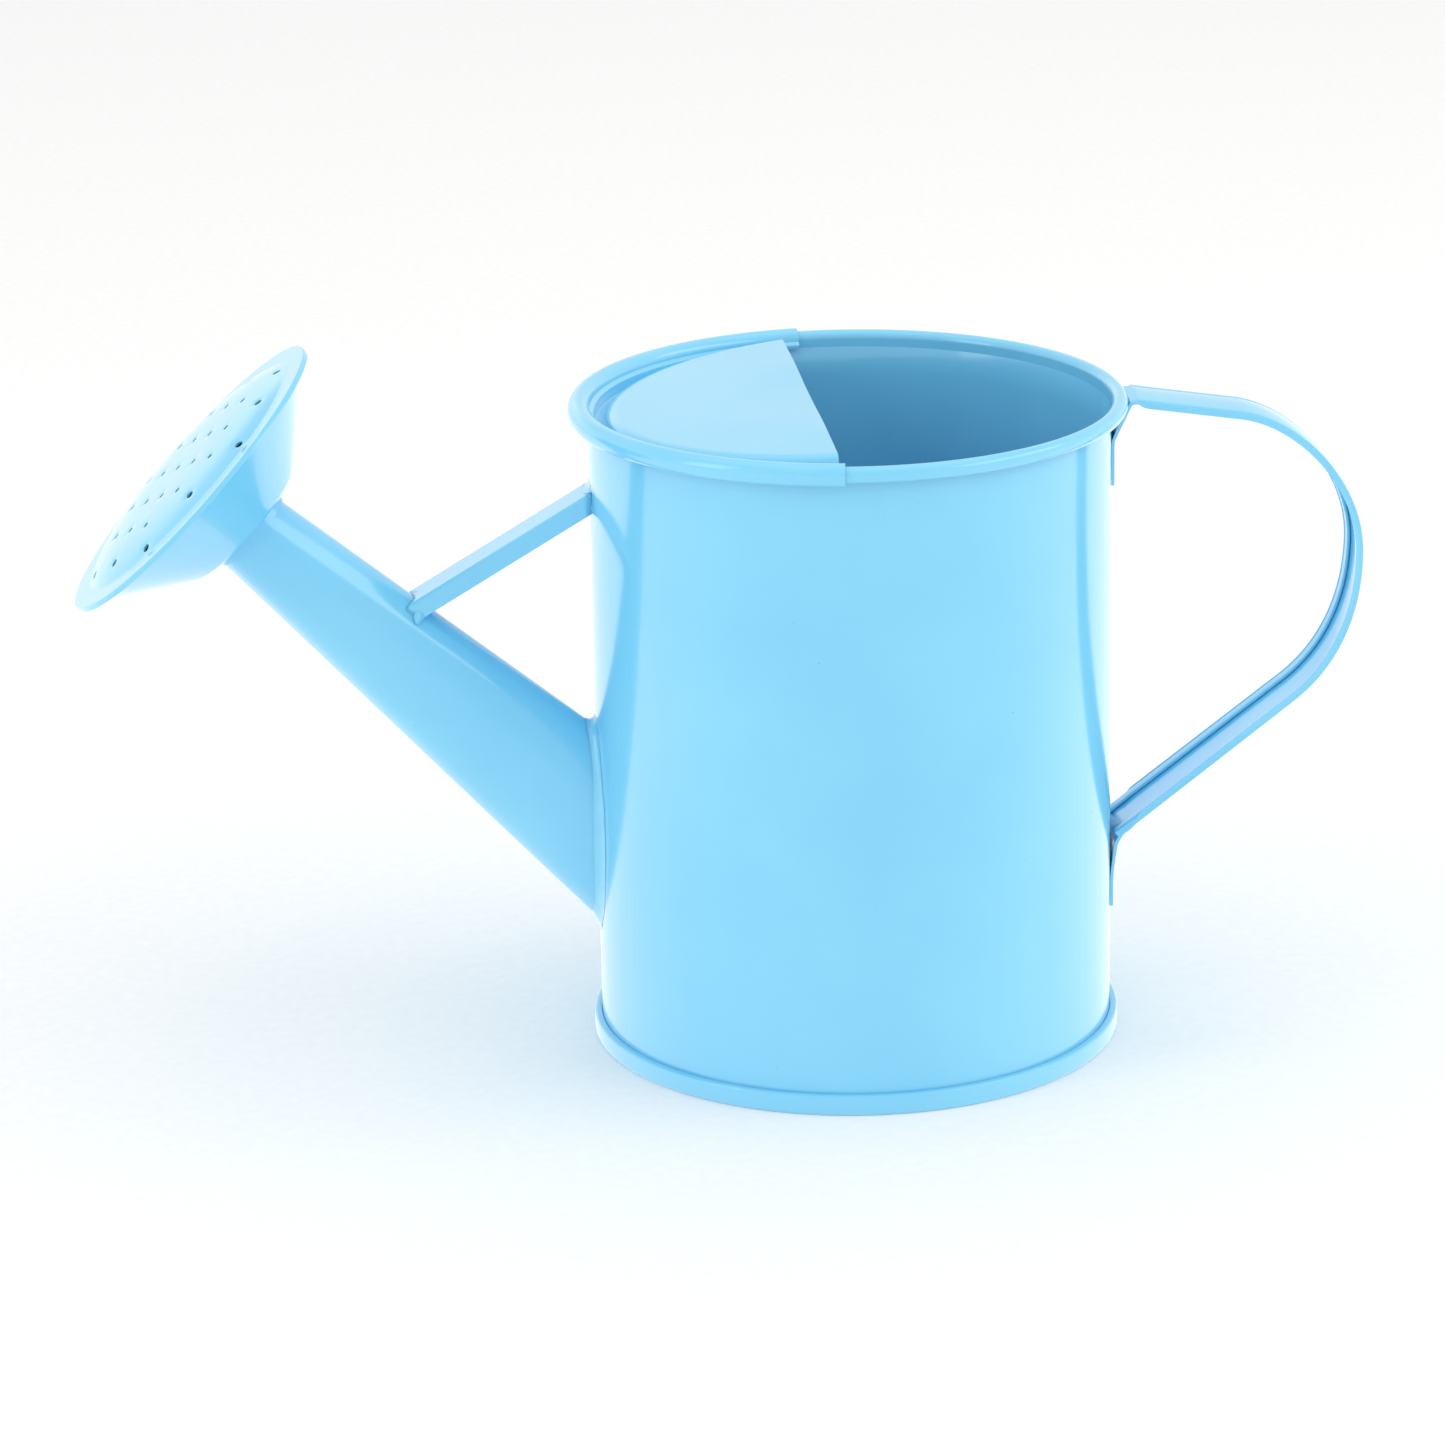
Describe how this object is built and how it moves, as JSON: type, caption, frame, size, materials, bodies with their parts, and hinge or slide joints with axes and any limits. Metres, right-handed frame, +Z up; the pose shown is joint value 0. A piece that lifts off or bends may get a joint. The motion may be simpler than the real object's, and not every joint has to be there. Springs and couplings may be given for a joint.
{
  "type": "watering can",
  "caption": "Sheet metal watering can with a round body, half cover, slanted spout with a perforated rose, folded brace and strap handle.",
  "frame": {"origin": "on the floor, under the middle of the whole can from the rose's edge to the back of the handle", "axes": "+Z up, -X towards the spout and rose, +X towards the handle, Y across"},
  "size_m": [0.2574, 0.1114, 0.1449],
  "materials": {
    "sky_blue_enamel": "gloss enamel sprayed over sheet steel",
    "solder_under_enamel": "gloss enamel over run solder",
    "drawn_wire": "drawn steel wire"
  },
  "bodies": {
    "root": {"body_wall": "sky_blue_enamel", "rim_wire": "drawn_wire", "base_plate": "sky_blue_enamel", "splash_cover": "sky_blue_enamel", "spout": "sky_blue_enamel", "spout_solder": "solder_under_enamel", "rose_cup": "sky_blue_enamel", "rose_face": "sky_blue_enamel", "spout_brace": "sky_blue_enamel", "brace_solder_left": "solder_under_enamel", "brace_solder_right": "solder_under_enamel", "brace_wall_solder": "solder_under_enamel", "handle": "sky_blue_enamel"}
  },
  "joints": []
}
